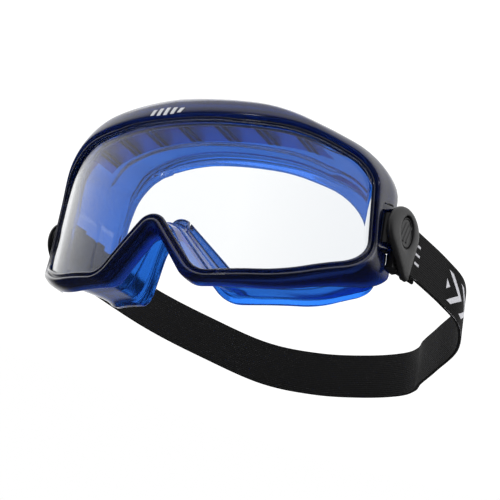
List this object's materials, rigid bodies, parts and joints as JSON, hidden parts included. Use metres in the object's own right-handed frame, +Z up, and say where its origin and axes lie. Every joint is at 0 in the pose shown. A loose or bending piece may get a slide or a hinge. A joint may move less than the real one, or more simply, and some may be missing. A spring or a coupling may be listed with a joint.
{
  "type": "safety goggles",
  "caption": "Wrap-round safety goggles with a clear bent lens, a blue frame and soft face skirt, and a hinged buckle on each side that holds an elastic head strap.",
  "frame": {"origin": "centre of the object's bounding box, on the level that the goggles stand on", "axes": "+X to the wearer's left and along the longest extent, -Y the way the wearer looks, +Z up and along the shortest extent"},
  "size_m": [0.2012, 0.1683, 0.089],
  "materials": {
    "lens": "clear bent polycarbonate sheet",
    "front_frame": "glossy translucent navy PVC",
    "face_skirt": "soft glossy translucent blue PVC",
    "buckle_charcoal": "satin charcoal nylon",
    "buckle_black": "satin black acetal",
    "strap": "ribbed black knitted elastic"
  },
  "bodies": {
    "goggles": {"lens": "lens", "front_frame": "front_frame", "face_skirt": "face_skirt", "upper_vent_baffle": "face_skirt", "hinge_pin_left": "buckle_black", "hinge_pin_right": "buckle_black", "head_strap": "strap"},
    "left_buckle": {"buckle_base_left": "buckle_black", "buckle_cover_left": "buckle_charcoal", "buckle_badge_left": "buckle_black"},
    "right_buckle": {"buckle_base_right": "buckle_black", "buckle_cover_right": "buckle_charcoal", "buckle_badge_right": "buckle_black"}
  },
  "joints": [
    {"name": "left_buckle_hinge", "type": "hinge", "parent": "goggles", "child": "left_buckle", "pos_m": [0.0806, -0.0314, 0.0418], "axis": [0, 0, 1], "range_deg": [-30, 25], "deforming": ["head_strap"]},
    {"name": "right_buckle_hinge", "type": "hinge", "parent": "goggles", "child": "right_buckle", "pos_m": [-0.0946, -0.0314, 0.0418], "axis": [0, 0, 1], "range_deg": [-5, 50], "deforming": ["head_strap"]}
  ]
}
